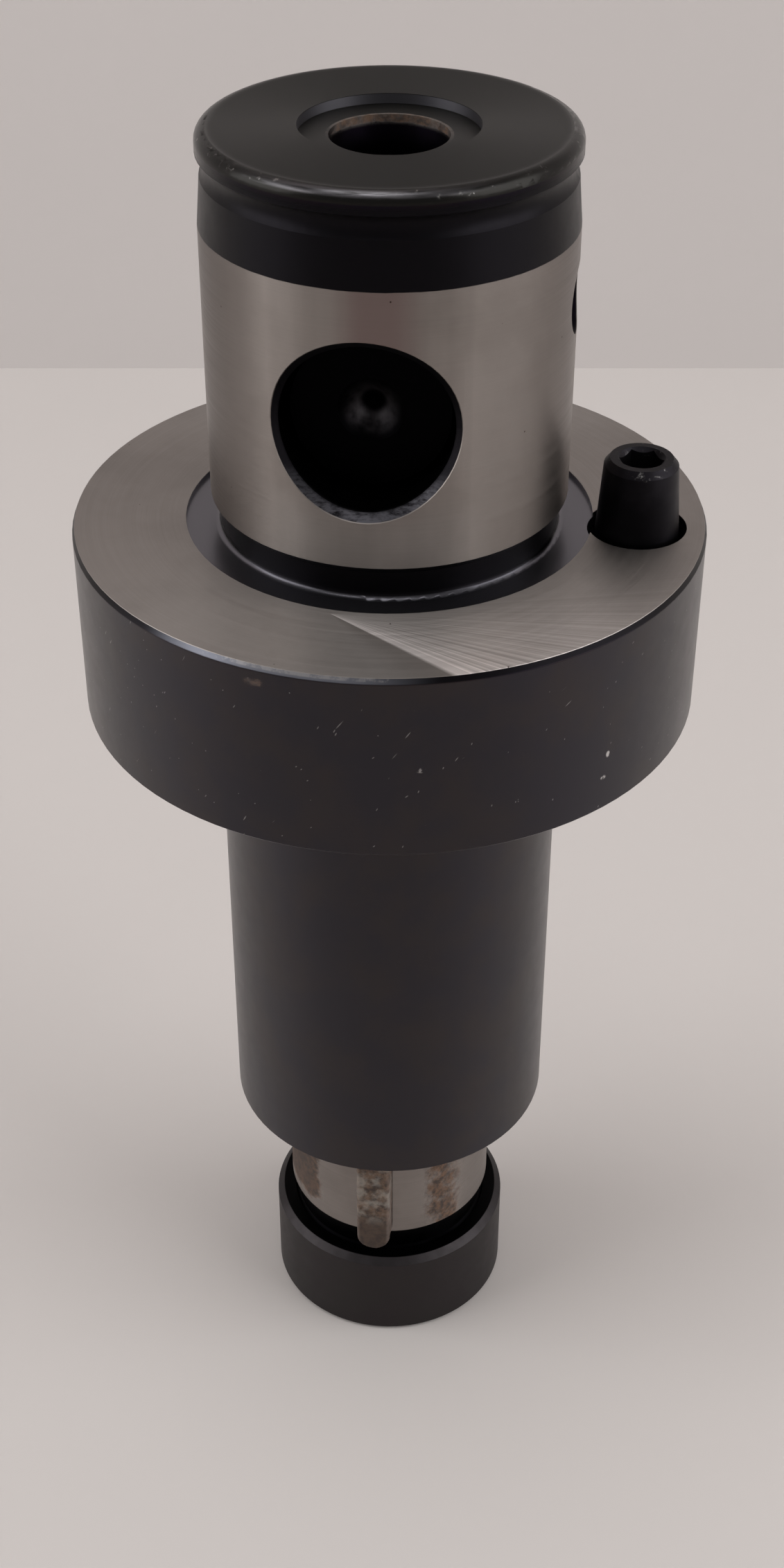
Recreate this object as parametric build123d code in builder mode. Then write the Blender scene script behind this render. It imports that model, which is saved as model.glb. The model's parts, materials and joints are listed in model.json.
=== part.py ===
from build123d import *
from math import cos, radians, sin, sqrt, tan
import os

os.makedirs("parts", exist_ok=True)

# Frame: +Z runs up the holder's axis, from the nose ring to the pilot's top. The cross bore and the
# feather key face -Y and the drive pin stands towards +X. The origin is the middle of the nose
# ring's lower face. Lengths are in millimetres.

# Clearances
running_gap = 0.03
sliding_gap = 0.05
free_gap = 0.1
edge_break = 0.2

# Lengths along the axis, from the bottom up
ring_height = 9.5
neck_length = 2.2
spindle_shown = 13.04
barrel_length = 43.95
flange_thickness = 15.55
pilot_length = 30.86

# Pilot
pilot_radius = 14.0
undercut_radius = 13.25
undercut_height = 2.57
undercut_bevel = 0.75
root_fillet = 0.5
black_band_length = 6.9
band_taper = 0.3
groove_radius = 13.42
groove_height = 1.75
lip_radius = 13.95
lip_round = 0.85
lip_height = 1.6

# Pilot bores
top_recess_radius = 6.62
top_recess_depth = 0.8
axial_bore_radius = 4.38
axial_bore_depth = 6.5
cross_bore_radius = 6.42
cross_bore_bevel = 0.62
cross_bore_drop = 17.6
side_hole_radius = 2.75
side_hole_drop = 12.2
side_hole_end = 4.6

# Thrust pin in the cross bore, and the screw that keeps it there
thrust_pin_front = 9.8
thrust_pin_back = 9.4
thrust_pin_bevel = 0.5
thrust_recess_radius = 2.45
thrust_point_radius = 4.0
thrust_point_height = 2.6
thrust_float = 1.0
thrust_cone_half_angle = 45.0
retaining_screw_sink = 1.3
retaining_screw_end_gap = 0.2
retaining_screw_across = 2.5
retaining_socket_depth = 2.5
retaining_screw_bevel = 0.4

# Flange
flange_radius = 25.0
rim_bevel = 0.2
rim_drop = 0.47
face_recess_radius = 16.07
face_recess_depth = 0.35

# Drive pin
pin_rim_margin = 5.47
pin_seat_radius = 3.89
pin_seat_depth = 2.8
pin_root_radius = 3.26
pin_head_radius = 2.89
pin_tip_radius = 2.45
pin_rise = 5.9
pin_tip_bevel = 0.55
pin_thread_radius = 2.5
pin_thread_length = 9.0
pin_thread_spare = 1.0
pin_socket_across = 3.0
pin_socket_depth = 3.0
pin_socket_mouth = 1.85

# Barrel
barrel_radius = 14.2
spring_chamber_radius = 8.6
spring_chamber_length = 21.0
guide_length = 35.26
drill_point_angle = 59.0

# Spindle
spindle_radius = 9.5
spindle_length = 32.3
shoulder_bevel = 0.45
neck_radius = 8.9
thread_radius = 9.2
nose_setback = 3.9
nose_bevel = 0.4

# Feather key
key_width = 3.15
key_reach = 11.5
key_depth = 3.6
key_length = 28.4
key_bevel = 0.35
key_start_drop = 0.15
keyway_spare = 0.6
keyway_relief_length = 3.0

# Axial float of the spindle in the barrel
float_in = 5.0
float_out = 3.5

# Collet
collet_length = 27.5
collet_bore_radius = 3.5
collet_front_radius = 6.0
collet_head_radius = 7.55
collet_groove_radius = 6.75
collet_groove_length = 1.3
collet_collar_radius = 8.4
collet_collar_length = 0.7
collet_end_bevel = 0.5
collet_setback = 0.5
seat_half_angle = 8.0
clamp_half_angle = 30.0
collet_slots = 8
collet_slot_width = 0.5
collet_web = 4.0

# Nose ring
ring_radius = 11.0
ring_top_bevel = 0.6
ring_foot_bevel = 0.35
ring_lip_radius = 7.25
ring_lip_thickness = 0.5
ring_thread_relief = 0.3
spanner_hole_radius = 0.9
spanner_hole_depth = 2.0
spanner_holes = 4

# Stop screw behind the collet
stop_screw_radius = 5.0
stop_screw_length = 6.0
stop_screw_rear_gap = 2.0
stop_screw_across = 5.0
stop_screw_socket_depth = 3.5
stop_screw_bevel = 0.6

# Tie bolt and its washer
tie_thread_radius = 3.0
tie_thread_length = 7.0
tie_shoulder_radius = 3.5
tie_head_radius = 5.5
tie_head_height = 4.0
tie_socket_across = 4.0
tie_socket_depth = 2.4
tie_bevel = 0.3
washer_radius = 7.6
washer_thickness = 1.0

# Stop ring and circlip
stop_ring_thickness = 3.0
circlip_thickness = 1.1
circlip_groove_depth = 0.5
circlip_width = 1.35
circlip_gap_angle = 44.0
circlip_ear_radius = 1.25
circlip_ear_hole_radius = 0.6

# Springs
spring_mean_radius = 5.25
spring_wire = 1.3
lower_spring_turns = 3.4
upper_spring_turns = 3.0
upper_spring_spare = 1.6
upper_spring_length = float_out + upper_spring_turns * spring_wire + upper_spring_spare

# Heights worked out from the lengths above
ring_top_z = ring_height
shoulder_z = ring_top_z + neck_length
mouth_z = shoulder_z + spindle_shown
flange_low_z = mouth_z + barrel_length
flange_face_z = flange_low_z + flange_thickness
top_z = flange_face_z + pilot_length
bore_mouth_z = top_z - top_recess_depth
bore_end_z = bore_mouth_z - axial_bore_depth
recess_floor_z = flange_face_z - face_recess_depth
pilot_start_z = flange_face_z + undercut_height
black_band_z = top_z - black_band_length
cross_bore_z = top_z - cross_bore_drop
side_hole_z = top_z - side_hole_drop
guide_end_z = mouth_z + guide_length
chamber_end_z = guide_end_z + spring_chamber_length
stop_ring_z = guide_end_z - stop_ring_thickness
circlip_z = stop_ring_z - circlip_thickness
spindle_top_z = shoulder_z + spindle_length
key_low_z = shoulder_z - key_start_drop
key_top_z = key_low_z + key_length
keyway_end_z = key_top_z + float_in + keyway_spare
washer_z = guide_end_z + upper_spring_length
tie_head_z = washer_z + washer_thickness
pin_pitch_radius = flange_radius - pin_rim_margin
pin_seat_z = flange_face_z - pin_seat_depth
pin_top_z = flange_face_z + pin_rise

# Radii and heights that fit one piece to another
guide_radius = spindle_radius + running_gap
keyway_reach = key_reach + free_gap
circlip_seat_radius = guide_radius + circlip_groove_depth
pilot_bore_overshoot = 1.0
collet_front_z = collet_setback
collet_groove_z = collet_front_z + (collet_head_radius - collet_front_radius) / tan(radians(clamp_half_angle))
collet_collar_z = collet_groove_z + collet_groove_length
collet_taper_z = collet_collar_z + collet_collar_length
collet_end_z = collet_front_z + collet_length
collet_end_radius = collet_collar_radius - (collet_end_z - collet_taper_z) * tan(radians(seat_half_angle))
seat_normal_gap = running_gap / cos(radians(seat_half_angle))
seat_depth_spare = 1.0
stop_screw_bore_end_z = spindle_top_z - tie_thread_length - stop_screw_rear_gap
stop_screw_top_z = stop_screw_bore_end_z - stop_screw_rear_gap / 2


def half_profile(points):
    """Close a half section given as radius and height pairs."""
    with BuildSketch(Plane.XZ) as half:
        with BuildLine():
            Polyline(*points, close=True)
        make_face()
    return half.sketch


# Holder body: pilot, flange and barrel turned from one bar
with BuildPart() as holder_body:
    with BuildSketch(Plane.XZ):
        with BuildLine():
            Polyline(
                (undercut_radius + root_fillet, recess_floor_z),
                (face_recess_radius, recess_floor_z),
                (face_recess_radius, flange_face_z),
                (flange_radius - rim_bevel, flange_face_z),
                (flange_radius, flange_face_z - rim_drop),
                (flange_radius, flange_low_z + edge_break),
                (flange_radius - edge_break, flange_low_z),
                (barrel_radius, flange_low_z),
                (barrel_radius, mouth_z + edge_break),
                (barrel_radius - edge_break, mouth_z),
                (0, mouth_z),
                (0, bore_mouth_z),
                (top_recess_radius, bore_mouth_z),
                (top_recess_radius, top_z),
                (lip_radius - lip_round, top_z),
            )
            CenterArc((lip_radius - lip_round, top_z - lip_round), lip_round, 0, 90)
            Line((lip_radius, top_z - lip_round), (lip_radius, top_z - lip_height))
            ThreePointArc(
                (lip_radius, top_z - lip_height),
                (groove_radius, top_z - lip_height - groove_height / 2),
                (pilot_radius - band_taper, top_z - lip_height - groove_height),
            )
            Polyline(
                (pilot_radius - band_taper, top_z - lip_height - groove_height),
                (pilot_radius, black_band_z),
                (pilot_radius, pilot_start_z),
                (undercut_radius, pilot_start_z - undercut_bevel),
                (undercut_radius, recess_floor_z + root_fillet),
            )
            CenterArc(
                (undercut_radius + root_fillet, recess_floor_z + root_fillet), root_fillet, 180, 90
            )
        make_face()
    revolve(axis=Axis.Z)

    # Cross bore through the pilot, with its mouths bevelled along the round wall
    with BuildSketch(Plane.XZ):
        with Locations((0, cross_bore_z)):
            Circle(cross_bore_radius)
    extrude(amount=pilot_radius + pilot_bore_overshoot, both=True, mode=Mode.SUBTRACT)
    bore_mouths = (
        holder_body.edges()
        .filter_by_position(
            Axis.Z, cross_bore_z - cross_bore_radius, cross_bore_z + cross_bore_radius
        )
        .filter_by(lambda edge: edge.length > pilot_radius)
    )
    chamfer(bore_mouths, cross_bore_bevel)

    # Blind axial bore from the top, with its drill point
    axial_bore_half = half_profile(
        [
            (0, bore_mouth_z),
            (axial_bore_radius, bore_mouth_z),
            (axial_bore_radius, bore_end_z),
            (0, bore_end_z - axial_bore_radius / tan(radians(drill_point_angle))),
        ]
    )
    revolve(axial_bore_half, axis=Axis.Z, mode=Mode.SUBTRACT)

    # Small hole in the pilot's side, from the drive pin's side into the cross bore
    with BuildSketch(Plane.YZ.offset(side_hole_end)):
        with Locations((0, side_hole_z)):
            Circle(side_hole_radius)
    extrude(amount=pilot_radius + pilot_bore_overshoot - side_hole_end, mode=Mode.SUBTRACT)

    # Guide bore, circlip groove and spring chamber, bored from the mouth
    guide_half = half_profile(
        [
            (0, mouth_z),
            (guide_radius + edge_break, mouth_z),
            (guide_radius, mouth_z + edge_break),
            (guide_radius, circlip_z),
            (circlip_seat_radius, circlip_z),
            (circlip_seat_radius, stop_ring_z),
            (guide_radius, stop_ring_z),
            (guide_radius, guide_end_z),
            (spring_chamber_radius, guide_end_z),
            (spring_chamber_radius, chamber_end_z),
            (0, chamber_end_z + spring_chamber_radius / tan(radians(drill_point_angle))),
        ]
    )
    revolve(guide_half, axis=Axis.Z, mode=Mode.SUBTRACT)

    # Keyway in the barrel's bore, and the round relief that it runs out into
    with BuildSketch(Plane.XY.offset(mouth_z)):
        with Locations((0, -keyway_reach / 2)):
            Rectangle(key_width + 2 * sliding_gap, keyway_reach)
    extrude(amount=keyway_end_z - mouth_z, mode=Mode.SUBTRACT)
    with BuildSketch(Plane.XY.offset(keyway_end_z)):
        Circle(keyway_reach)
    extrude(amount=keyway_relief_length, mode=Mode.SUBTRACT)

    # Seat and thread hole for the drive pin
    with Locations(Plane.XY.offset(flange_face_z)):
        with Locations((pin_pitch_radius, 0)):
            CounterBoreHole(
                radius=pin_thread_radius + running_gap,
                counter_bore_radius=pin_seat_radius,
                counter_bore_depth=pin_seat_depth,
                depth=pin_seat_depth + pin_thread_length + pin_thread_spare,
            )

holder_body.part.label = "holder_body"
export_step(holder_body.part, "parts/holder_body.step")


# Retaining screw in the pilot's side hole: its plain end stands in the thrust pin's notch
screw_radius = side_hole_radius - running_gap
screw_inner_x = side_hole_end + retaining_screw_end_gap
screw_outer_x = sqrt(pilot_radius**2 - side_hole_radius**2) - retaining_screw_sink
with BuildPart() as retaining_screw:
    with BuildSketch(Plane.YZ.offset(screw_inner_x)):
        with Locations((0, side_hole_z)):
            Circle(screw_radius)
    extrude(amount=screw_outer_x - screw_inner_x)
    chamfer(retaining_screw.edges().filter_by(GeomType.CIRCLE), retaining_screw_bevel)
    with BuildSketch(Plane.YZ.offset(screw_outer_x)):
        with Locations((0, side_hole_z)):
            RegularPolygon(retaining_screw_across / 2, 6, major_radius=False)
    extrude(amount=-retaining_socket_depth, mode=Mode.SUBTRACT)

retaining_screw.part.label = "retaining_screw"
export_step(retaining_screw.part, "parts/retaining_screw.step")


# Thrust pin: floats in the cross bore, with a cone recess in front and a cone point behind
thrust_radius = cross_bore_radius - running_gap
notch_floor_z = side_hole_z - screw_radius - free_gap
notch_half_width = screw_radius + thrust_float + free_gap
thrust_axis = Axis((0, 0, cross_bore_z), (0, 1, 0))
with BuildPart() as thrust_pin:
    with BuildSketch(Plane.YZ):
        with BuildLine():
            Polyline(
                (-thrust_pin_front + thrust_recess_radius / tan(radians(thrust_cone_half_angle)),
                 cross_bore_z),
                (-thrust_pin_front, cross_bore_z + thrust_recess_radius),
                (-thrust_pin_front, cross_bore_z + thrust_radius - thrust_pin_bevel),
                (-thrust_pin_front + thrust_pin_bevel, cross_bore_z + thrust_radius),
                (thrust_pin_back - thrust_pin_bevel, cross_bore_z + thrust_radius),
                (thrust_pin_back, cross_bore_z + thrust_radius - thrust_pin_bevel),
                (thrust_pin_back, cross_bore_z + thrust_point_radius),
                (thrust_pin_back + thrust_point_height,
                 cross_bore_z + thrust_point_radius
                 - thrust_point_height * tan(radians(thrust_cone_half_angle))),
                (thrust_pin_back + thrust_point_height, cross_bore_z),
                close=True,
            )
        make_face()
    revolve(axis=thrust_axis)
    with BuildSketch(Plane.XY.offset(notch_floor_z)):
        with Locations((side_hole_end, 0)):
            Rectangle(
                cross_bore_radius, 2 * notch_half_width, align=(Align.MIN, Align.CENTER)
            )
    extrude(amount=cross_bore_radius, mode=Mode.SUBTRACT)

thrust_pin.part.label = "thrust_pin"
export_step(thrust_pin.part, "parts/thrust_pin.step")


# Drive pin: a tapered head that stands out of the flange face, on a screwed shank
pin_axis = Axis((pin_pitch_radius, 0, 0), (0, 0, 1))
with BuildPart() as drive_pin:
    with BuildSketch(Plane.XZ):
        with BuildLine():
            Polyline(
                (pin_pitch_radius, pin_seat_z - pin_thread_length),
                (pin_pitch_radius + pin_thread_radius - edge_break, pin_seat_z - pin_thread_length),
                (pin_pitch_radius + pin_thread_radius, pin_seat_z - pin_thread_length + edge_break),
                (pin_pitch_radius + pin_thread_radius, pin_seat_z),
                (pin_pitch_radius + pin_root_radius, pin_seat_z),
                (pin_pitch_radius + pin_root_radius, flange_face_z),
                (pin_pitch_radius + pin_head_radius, pin_top_z - pin_tip_bevel),
                (pin_pitch_radius + pin_tip_radius, pin_top_z),
                (pin_pitch_radius, pin_top_z),
                close=True,
            )
        make_face()
    revolve(axis=pin_axis)
    with BuildSketch(Plane.XY.offset(pin_top_z)):
        with Locations((pin_pitch_radius, 0)):
            RegularPolygon(pin_socket_across / 2, 6, major_radius=False)
    extrude(amount=-pin_socket_depth, mode=Mode.SUBTRACT)
    with Locations((pin_pitch_radius, 0, pin_top_z - (pin_socket_mouth - pin_socket_across / 2) / 2)):
        Cone(
            pin_socket_across / 2,
            pin_socket_mouth,
            pin_socket_mouth - pin_socket_across / 2,
            mode=Mode.SUBTRACT,
        )

drive_pin.part.label = "drive_pin"
export_step(drive_pin.part, "parts/drive_pin.step")


# Floating spindle: ground shaft with a taper seat for the collet and a thread for the nose ring
spindle_nose_z = nose_setback
seat_mouth_radius = collet_collar_radius + seat_normal_gap + (collet_taper_z - spindle_nose_z) * tan(
    radians(seat_half_angle)
)
seat_end_z = collet_end_z + seat_depth_spare
seat_end_radius = seat_mouth_radius - (seat_end_z - spindle_nose_z) * tan(radians(seat_half_angle))
key_floor = key_reach - key_depth

with BuildPart() as floating_spindle:
    spindle_half = half_profile(
        [
            (seat_mouth_radius, spindle_nose_z),
            (thread_radius - edge_break, spindle_nose_z),
            (thread_radius, spindle_nose_z + edge_break),
            (thread_radius, ring_top_z - edge_break),
            (neck_radius, ring_top_z),
            (neck_radius, shoulder_z),
            (spindle_radius - shoulder_bevel, shoulder_z),
            (spindle_radius, shoulder_z + shoulder_bevel),
            (spindle_radius, spindle_top_z - nose_bevel),
            (spindle_radius - nose_bevel, spindle_top_z),
            (tie_thread_radius + running_gap, spindle_top_z),
            (tie_thread_radius + running_gap, stop_screw_bore_end_z),
            (stop_screw_radius + running_gap, stop_screw_bore_end_z),
            (stop_screw_radius + running_gap, seat_end_z),
            (seat_end_radius, seat_end_z),
        ]
    )
    revolve(spindle_half, axis=Axis.Z)

    # Key seat: a pocket with round ends, milled square to the front
    with BuildSketch(Plane.XZ.offset(key_floor)):
        with Locations((0, (key_low_z + key_top_z) / 2)):
            SlotOverall(key_length, key_width, rotation=90)
    extrude(amount=spindle_radius, mode=Mode.SUBTRACT)

floating_spindle.part.label = "floating_spindle"
export_step(floating_spindle.part, "parts/floating_spindle.step")


# Feather key: round ends and bevelled outer edges, standing out of the spindle's front
with BuildPart() as feather_key:
    with BuildSketch(Plane.XZ.offset(key_floor)):
        with Locations((0, (key_low_z + key_top_z) / 2)):
            SlotOverall(key_length, key_width, rotation=90)
    extrude(amount=key_depth)
    chamfer(feather_key.faces().sort_by(Axis.Y)[0].edges(), key_bevel)

feather_key.part.label = "feather_key"
export_step(feather_key.part, "parts/feather_key.step")


# Collet: double taper with a groove that the nose ring pulls on, slit from both ends in turn
with BuildPart() as collet:
    collet_half = half_profile(
        [
            (collet_bore_radius, collet_front_z),
            (collet_front_radius, collet_front_z),
            (collet_head_radius, collet_groove_z),
            (collet_groove_radius, collet_groove_z),
            (collet_groove_radius, collet_collar_z),
            (collet_collar_radius, collet_collar_z),
            (collet_collar_radius, collet_taper_z),
            (collet_end_radius + collet_end_bevel * tan(radians(seat_half_angle)),
             collet_end_z - collet_end_bevel),
            (collet_end_radius - collet_end_bevel, collet_end_z),
            (collet_bore_radius, collet_end_z),
        ]
    )
    revolve(collet_half, axis=Axis.Z)
    slot_reach = collet_collar_radius + free_gap
    slot_length = collet_length - collet_web
    with BuildSketch(Plane.XY.offset(collet_front_z)):
        with PolarLocations(slot_reach / 2, collet_slots):
            Rectangle(slot_reach, collet_slot_width)
    extrude(amount=slot_length, mode=Mode.SUBTRACT)
    with BuildSketch(Plane.XY.offset(collet_end_z)):
        with PolarLocations(slot_reach / 2, collet_slots, start_angle=180 / collet_slots):
            Rectangle(slot_reach, collet_slot_width)
    extrude(amount=-slot_length, mode=Mode.SUBTRACT)

collet.part.label = "collet"
export_step(collet.part, "parts/collet.step")


# Nose ring: plain outside, inner cone and lip for the collet, thread bore for the spindle
cone_gap = sliding_gap / cos(radians(clamp_half_angle))
cone_mouth_radius = collet_front_radius + cone_gap - collet_front_z * tan(radians(clamp_half_angle))
ring_lip_z = collet_groove_z + free_gap
ring_cone_end_radius = collet_head_radius + cone_gap
ring_cavity_z = ring_lip_z + ring_lip_thickness
ring_thread_bore = thread_radius + sliding_gap
ring_thread_z = spindle_nose_z - ring_thread_relief

with BuildPart() as collet_nut:
    nut_half = half_profile(
        [
            (cone_mouth_radius, 0),
            (ring_radius - ring_foot_bevel, 0),
            (ring_radius, ring_foot_bevel),
            (ring_radius, ring_top_z - ring_top_bevel),
            (ring_radius - ring_top_bevel, ring_top_z),
            (ring_thread_bore, ring_top_z),
            (ring_thread_bore, ring_thread_z),
            (ring_cone_end_radius, ring_thread_z),
            (ring_cone_end_radius, ring_cavity_z),
            (ring_lip_radius, ring_cavity_z),
            (ring_lip_radius, ring_lip_z),
            (ring_cone_end_radius, ring_lip_z),
            (ring_cone_end_radius, collet_groove_z),
        ]
    )
    revolve(nut_half, axis=Axis.Z)
    with BuildSketch(Plane.XY):
        with PolarLocations((cone_mouth_radius + ring_radius) / 2, spanner_holes, start_angle=45):
            Circle(spanner_hole_radius)
    extrude(amount=spanner_hole_depth, mode=Mode.SUBTRACT)

collet_nut.part.label = "collet_nut"
export_step(collet_nut.part, "parts/collet_nut.step")


# Stop screw: sets how far the tool's shank goes in, turned through the collet's bore
with BuildPart() as stop_screw:
    with BuildSketch(Plane.XY.offset(stop_screw_top_z)):
        Circle(stop_screw_radius)
    extrude(amount=-stop_screw_length)
    chamfer(stop_screw.edges().filter_by(GeomType.CIRCLE), stop_screw_bevel)
    with BuildSketch(Plane.XY.offset(stop_screw_top_z - stop_screw_length)):
        RegularPolygon(stop_screw_across / 2, 6, major_radius=False)
    extrude(amount=stop_screw_socket_depth, mode=Mode.SUBTRACT)

stop_screw.part.label = "stop_screw"
export_step(stop_screw.part, "parts/stop_screw.step")


# Tie bolt: screwed into the spindle's top, its shoulder slides in the stop ring
with BuildPart() as tie_bolt:
    bolt_half = half_profile(
        [
            (0, spindle_top_z - tie_thread_length),
            (tie_thread_radius - tie_bevel, spindle_top_z - tie_thread_length),
            (tie_thread_radius, spindle_top_z - tie_thread_length + tie_bevel),
            (tie_thread_radius, spindle_top_z),
            (tie_shoulder_radius, spindle_top_z),
            (tie_shoulder_radius, tie_head_z),
            (tie_head_radius, tie_head_z),
            (tie_head_radius, tie_head_z + tie_head_height - tie_bevel),
            (tie_head_radius - tie_bevel, tie_head_z + tie_head_height),
            (0, tie_head_z + tie_head_height),
        ]
    )
    revolve(bolt_half, axis=Axis.Z)
    with BuildSketch(Plane.XY.offset(tie_head_z + tie_head_height)):
        RegularPolygon(tie_socket_across / 2, 6, major_radius=False)
    extrude(amount=-tie_socket_depth, mode=Mode.SUBTRACT)

tie_bolt.part.label = "tie_bolt"
export_step(tie_bolt.part, "parts/tie_bolt.step")


# Washer between the tie bolt's head and the upper spring
with BuildPart() as spring_washer:
    with BuildSketch(Plane.XY.offset(washer_z)):
        Circle(washer_radius)
        Circle(tie_shoulder_radius + sliding_gap, mode=Mode.SUBTRACT)
    extrude(amount=washer_thickness)

spring_washer.part.label = "spring_washer"
export_step(spring_washer.part, "parts/spring_washer.step")


# Stop ring: the partition that both springs press on, seated against the bore's step
with BuildPart() as stop_ring:
    with BuildSketch(Plane.XY.offset(stop_ring_z)):
        Circle(guide_radius - running_gap)
        Circle(tie_shoulder_radius + free_gap, mode=Mode.SUBTRACT)
    extrude(amount=stop_ring_thickness)
    chamfer(stop_ring.edges().group_by(Axis.Z)[-1].sort_by(SortBy.RADIUS)[-1], edge_break)

stop_ring.part.label = "stop_ring"
export_step(stop_ring.part, "parts/stop_ring.step")


# Circlip: an open ring in its groove, with two ears that a plier's tips fit
circlip_inner_radius = circlip_seat_radius - circlip_width
ear_reach = circlip_inner_radius - circlip_ear_radius / 2
with BuildPart() as circlip:
    with BuildSketch(Plane.XY.offset(circlip_z)):
        Circle(circlip_seat_radius)
        Circle(circlip_inner_radius, mode=Mode.SUBTRACT)
        with BuildLine():
            Polyline(
                (0, 0),
                (2 * guide_radius * cos(radians(circlip_gap_angle / 2)),
                 2 * guide_radius * sin(radians(circlip_gap_angle / 2))),
                (2 * guide_radius * cos(radians(circlip_gap_angle / 2)),
                 -2 * guide_radius * sin(radians(circlip_gap_angle / 2))),
                close=True,
            )
        make_face(mode=Mode.SUBTRACT)
        for side in (-1, 1):
            with PolarLocations(ear_reach, 1, start_angle=side * circlip_gap_angle / 2):
                Circle(circlip_ear_radius)
                Circle(circlip_ear_hole_radius, mode=Mode.SUBTRACT)
    extrude(amount=circlip_thickness)

circlip.part.label = "circlip"
export_step(circlip.part, "parts/circlip.step")


def coil(low_z, high_z, turns):
    """A spring of square wire between two heights, its ends ground flat."""
    rise = high_z - low_z
    pitch = rise / turns
    lead_in = spring_wire
    path = Helix(pitch, rise + 2 * lead_in, spring_mean_radius, center=(0, 0, low_z - lead_in))
    section_plane = Plane(origin=path @ 0, x_dir=(1, 0, 0), z_dir=path % 0)
    with BuildPart() as spring:
        with BuildSketch(section_plane):
            Rectangle(spring_wire, spring_wire)
        sweep(path=path, is_frenet=True)
        with BuildSketch(Plane.XY.offset(low_z)):
            Circle(2 * spring_mean_radius)
        extrude(amount=rise, mode=Mode.INTERSECT)
    return spring.part


# Springs either side of the stop ring, which hold the spindle in its middle place
with BuildPart() as lower_spring:
    add(coil(spindle_top_z, stop_ring_z, lower_spring_turns))

lower_spring.part.label = "lower_spring"
export_step(lower_spring.part, "parts/lower_spring.step")

with BuildPart() as upper_spring:
    add(coil(guide_end_z, washer_z, upper_spring_turns))

upper_spring.part.label = "upper_spring"
export_step(upper_spring.part, "parts/upper_spring.step")
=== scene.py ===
import json
from math import pi, radians

import bpy
from bpy.props import FloatProperty, FloatVectorProperty, PointerProperty
from bpy.types import Operator, Panel, PropertyGroup
from mathutils import Matrix, Vector


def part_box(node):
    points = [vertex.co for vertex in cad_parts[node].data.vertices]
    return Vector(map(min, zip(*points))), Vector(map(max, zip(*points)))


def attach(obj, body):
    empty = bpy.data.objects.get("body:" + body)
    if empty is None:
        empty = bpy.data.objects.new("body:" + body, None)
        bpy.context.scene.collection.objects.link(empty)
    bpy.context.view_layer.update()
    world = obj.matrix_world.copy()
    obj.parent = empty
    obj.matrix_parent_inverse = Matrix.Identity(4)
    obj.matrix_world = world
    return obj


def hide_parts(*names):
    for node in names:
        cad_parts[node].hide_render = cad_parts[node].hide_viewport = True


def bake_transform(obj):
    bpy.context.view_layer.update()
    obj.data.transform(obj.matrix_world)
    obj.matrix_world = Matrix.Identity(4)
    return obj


bl_info = {
    "name": "Collet Chuck Holder",
    "version": (1, 0, 0),
    "blender": (4, 5, 0),
    "location": "View3D > Sidebar > Holder",
    "description": "Finishes a keyed collet chuck holder and sets it on a studio floor",
    "category": "Object",
}

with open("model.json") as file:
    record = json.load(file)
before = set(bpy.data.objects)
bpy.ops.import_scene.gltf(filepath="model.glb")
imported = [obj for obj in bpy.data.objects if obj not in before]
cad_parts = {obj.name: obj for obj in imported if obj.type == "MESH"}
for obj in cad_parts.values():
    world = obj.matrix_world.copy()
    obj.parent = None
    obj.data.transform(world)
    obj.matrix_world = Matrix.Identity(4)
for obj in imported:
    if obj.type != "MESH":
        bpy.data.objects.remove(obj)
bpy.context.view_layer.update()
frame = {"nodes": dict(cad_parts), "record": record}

MM = 0.001
PER_MM = 1000.0

# How far the key's lower end hangs below the spindle's shoulder, in millimetres
KEY_OVERHANG = 0.15

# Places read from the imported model, in millimetres: the holder stands on +Z and its front is -Y
mounts = {mount["name"]: mount for mount in frame["record"]["mounts"]}
pilot_radius = mounts["pilot"]["dims"]["r_mm"]
pilot_middle = mounts["pilot"]["pos_m"][2] * PER_MM
pilot_half = mounts["pilot"]["dims"]["length_mm"] / 2
pilot_low = pilot_middle - pilot_half
pilot_high = pilot_middle + pilot_half
face_height = mounts["coupling_face"]["pos_m"][2] * PER_MM
axial_radius = mounts["rear_bore"]["dims"]["r_mm"]
body_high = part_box("holder_body")[1] * PER_MM
top_height = body_high.z
flange_radius = body_high.x
ring_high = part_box("collet_nut")[1] * PER_MM
thrust_low, thrust_high = (corner * PER_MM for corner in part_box("thrust_pin"))
cross_radius = (thrust_high.x - thrust_low.x) / 2
key_low, key_high = (corner * PER_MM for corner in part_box("feather_key"))
shoulder_height = key_low.z + KEY_OVERHANG
pin_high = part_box("drive_pin")[1] * PER_MM

# Places of single marks, in millimetres
CROSS_BORE = (0.0, 0.0, pilot_middle)
FAN_CORNER = (-2.1, -16.5, face_height)
RUST_SPOT = (-6.44, -24.16, 82.76)

# Knocks on the flange's side: centre, and a factor for each axis; a high factor makes it small
KNOCKS = (
    ((5.63, -24.36, 76.43), (2.4, 2.4, 3.8)),
    ((18.79, -16.49, 73.73), (4.5, 4.5, 3.2)),
    ((18.56, -16.75, 71.73), (3.4, 3.4, 5.0)),
)

# Angle of the painted highlight's sharp side on the flange face, and how sharp it is
FAN_EDGE = radians(-35.5)
FAN_SHARPNESS = radians(1.2)

# Stretches of the holder's round: start, end and softness, in degrees right of the front
# Painted shade: darker streaks down the pilot's left and right sides
LEFT_SHADE = (-72, -33, 9)
RIGHT_SHADE = (34, 80, 8)
# Painted highlight low on the pilot's front
FOOT_HIGHLIGHT = (-32, 32, 16)
# Painted dark reflection down the pilot's front
FRONT_REFLECTION = (-5, 14, 6)
PALE_RIM = (-30, 8, 9)
WORN_RIM = (-24, 8, 14)
# Painted highlight along the front of the top's lip
LIP_HIGHLIGHT = (-26, 24, 20)
LEFT_RUST = (-88, -38, 10)
RIGHT_RUST = (28, 54, 9)

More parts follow.
